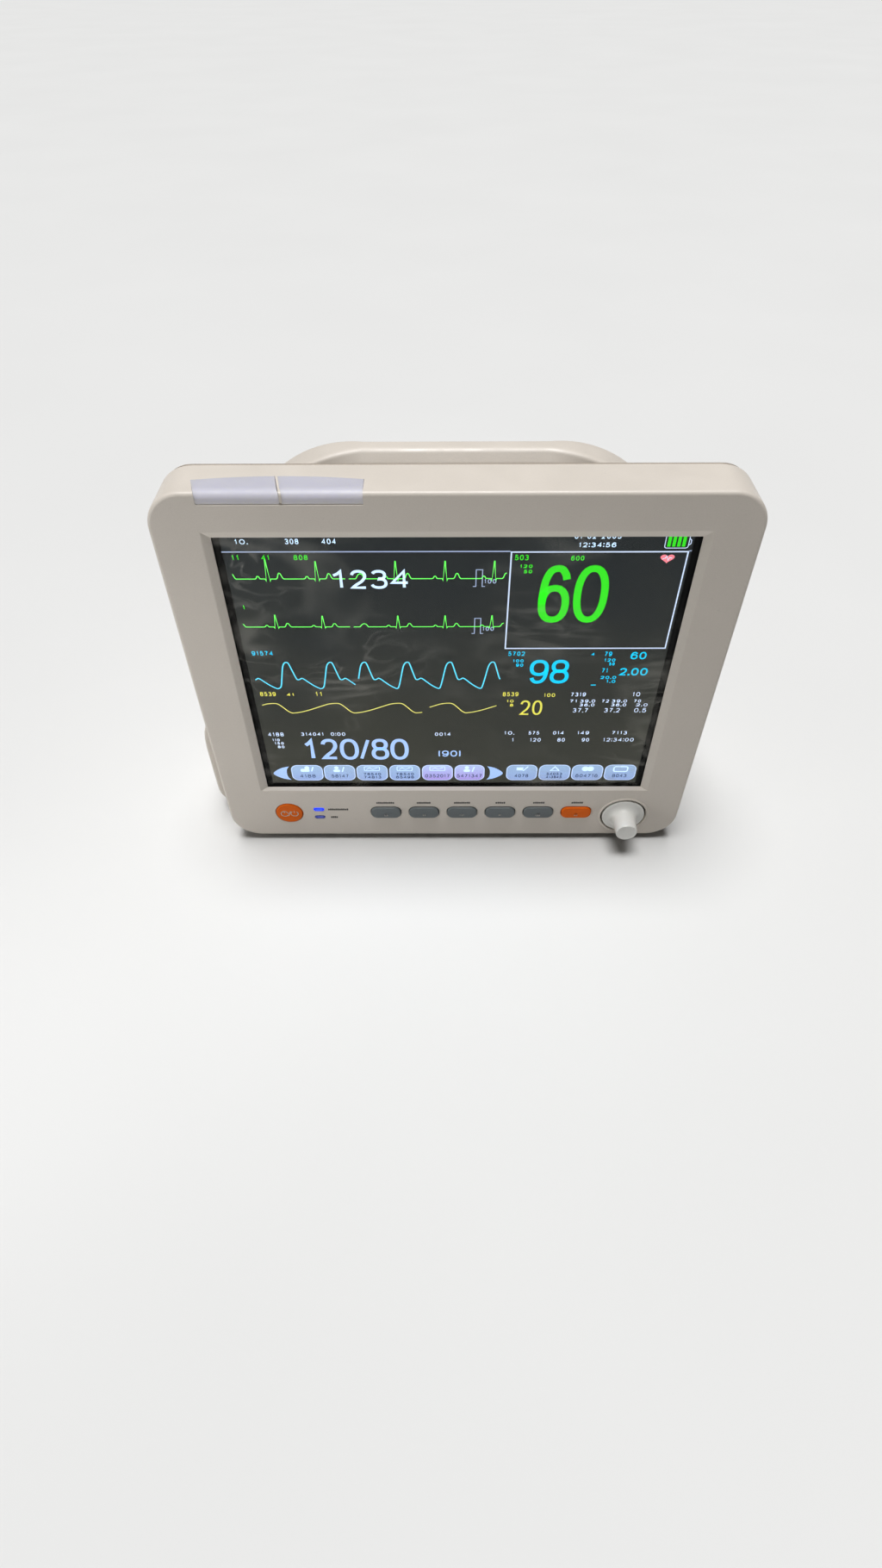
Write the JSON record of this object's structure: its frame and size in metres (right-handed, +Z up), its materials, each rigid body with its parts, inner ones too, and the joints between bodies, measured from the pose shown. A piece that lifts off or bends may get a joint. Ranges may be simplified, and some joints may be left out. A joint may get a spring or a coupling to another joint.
{
  "type": "patient monitor",
  "caption": "Bedside patient monitor with a recessed flat display, alarm lamps, push keys, a push-and-turn knob, side patient sockets, a battery door and a top carrying handle.",
  "frame": {"origin": "centre of the bounding box in plan, on the surface that the feet stand on", "axes": "+X to the viewer's right, +Y from the screen towards the back, +Z up; the screen faces -Y"},
  "size_m": [0.328, 0.1458, 0.2643],
  "materials": {
    "casing_plastic": "fine satin",
    "panel_grey": "satin",
    "key_grey": "satin",
    "button_orange": "satin",
    "knob_white": "satin",
    "alarm_lens": "frosted, translucent",
    "indicator_blue": "translucent",
    "clear_window": "clear",
    "display_black": "glossy",
    "plated_steel": "plated",
    "dark_metal": "satin",
    "plated_brass": "plated",
    "circuit_board": "solder mask",
    "battery_wrap": "film",
    "black_plastic": "satin",
    "socket_plastic": "satin",
    "soft_rubber": "matte",
    "label_film": "printed film, left blank"
  },
  "bodies": {
    "monitor_body": {"front_bezel": "casing_plastic", "rear_housing": "casing_plastic", "carry_handle": "casing_plastic", "recorder_blanking_cover": "casing_plastic", "socket_plate": "panel_grey", "lcd_backlight": "panel_grey", "alarm_lens_left": "alarm_lens", "alarm_lens_right": "alarm_lens", "power_light_pipe": "indicator_blue", "mains_light_pipe": "indicator_blue", "screen_window": "clear_window", "lcd_cell": "display_black", "lcd_bracket": "plated_steel", "encoder_body": "plated_steel", "cuff_pump": "plated_steel", "network_socket": "plated_steel", "stand_plate": "plated_steel", "door_hinge_pin": "plated_steel", "housing_screw_1": "plated_steel", "housing_screw_2": "plated_steel", "housing_screw_3": "plated_steel", "housing_screw_4": "plated_steel", "handle_screw_left": "plated_steel", "handle_screw_right": "plated_steel", "mains_transformer": "dark_metal", "speaker": "dark_metal", "earth_post": "plated_brass", "key_board": "circuit_board", "main_board": "circuit_board", "power_supply_board": "circuit_board", "parameter_board": "circuit_board", "alarm_light_board": "circuit_board", "battery_pack": "battery_wrap", "mains_inlet": "black_plastic", "valve_block": "black_plastic", "ecg_socket": "socket_plastic", "spo2_socket": "socket_plastic", "temperature_socket_1": "socket_plastic", "temperature_socket_2": "socket_plastic", "cuff_socket": "socket_plastic", "foot_1": "soft_rubber", "foot_2": "soft_rubber", "foot_3": "soft_rubber", "foot_4": "soft_rubber", "cuff_hose": "soft_rubber", "rating_label": "label_film"},
    "power_button_body": {"power_button": "button_orange"},
    "key_1_body": {"key_1": "key_grey"},
    "key_2_body": {"key_2": "key_grey"},
    "key_3_body": {"key_3": "key_grey"},
    "key_4_body": {"key_4": "key_grey"},
    "key_5_body": {"key_5": "key_grey"},
    "key_6_body": {"key_6": "button_orange"},
    "encoder_press_body": {"encoder_plunger": "knob_white"},
    "knob_body": {"rotary_knob": "knob_white", "encoder_shaft": "plated_steel"},
    "battery_door_body": {"battery_door": "casing_plastic"},
    "battery_door_stud_body": {"battery_door_stud": "plated_steel"},
    "fuse_drawer_body": {"fuse_drawer": "black_plastic", "fuse": "clear_window"}
  },
  "joints": [
    {"name": "power_button_press", "type": "slide", "parent": "monitor_body", "child": "power_button_body", "axis": [0, 1, 0], "range_m": [0, 0.001], "stiffness_N_per_m": 1500, "springref_m": -0.001},
    {"name": "key_1_press", "type": "slide", "parent": "monitor_body", "child": "key_1_body", "axis": [0, 1, 0], "range_m": [0, 0.001], "stiffness_N_per_m": 1500, "springref_m": -0.001},
    {"name": "key_2_press", "type": "slide", "parent": "monitor_body", "child": "key_2_body", "axis": [0, 1, 0], "range_m": [0, 0.001], "stiffness_N_per_m": 1500, "springref_m": -0.001},
    {"name": "key_3_press", "type": "slide", "parent": "monitor_body", "child": "key_3_body", "axis": [0, 1, 0], "range_m": [0, 0.001], "stiffness_N_per_m": 1500, "springref_m": -0.001},
    {"name": "key_4_press", "type": "slide", "parent": "monitor_body", "child": "key_4_body", "axis": [0, 1, 0], "range_m": [0, 0.001], "stiffness_N_per_m": 1500, "springref_m": -0.001},
    {"name": "key_5_press", "type": "slide", "parent": "monitor_body", "child": "key_5_body", "axis": [0, 1, 0], "range_m": [0, 0.001], "stiffness_N_per_m": 1500, "springref_m": -0.001},
    {"name": "key_6_press", "type": "slide", "parent": "monitor_body", "child": "key_6_body", "axis": [0, 1, 0], "range_m": [0, 0.001], "stiffness_N_per_m": 1500, "springref_m": -0.001},
    {"name": "knob_press", "type": "slide", "parent": "monitor_body", "child": "encoder_press_body", "axis": [0, 1, 0], "range_m": [0, 0.0006], "stiffness_N_per_m": 3000, "springref_m": -0.001},
    {"name": "knob_turn", "type": "hinge", "parent": "encoder_press_body", "child": "knob_body", "pos_m": [0.12585, -0.0566, 0.025], "axis": [0, 1, 0], "continuous": true},
    {"name": "battery_door_hinge", "type": "hinge", "parent": "monitor_body", "child": "battery_door_body", "pos_m": [0.06765, 0.0691, 0.0214], "axis": [-1, 0, 0], "range_deg": [0, 100]},
    {"name": "battery_door_stud_turn", "type": "hinge", "parent": "battery_door_body", "child": "battery_door_stud_body", "pos_m": [0.06765, 0.0694, 0.0626], "axis": [0, 1, 0], "range_deg": [0, 90]},
    {"name": "fuse_drawer_slide", "type": "slide", "parent": "monitor_body", "child": "fuse_drawer_body", "axis": [0, 1, 0], "range_m": [0, 0.018]}
  ]
}
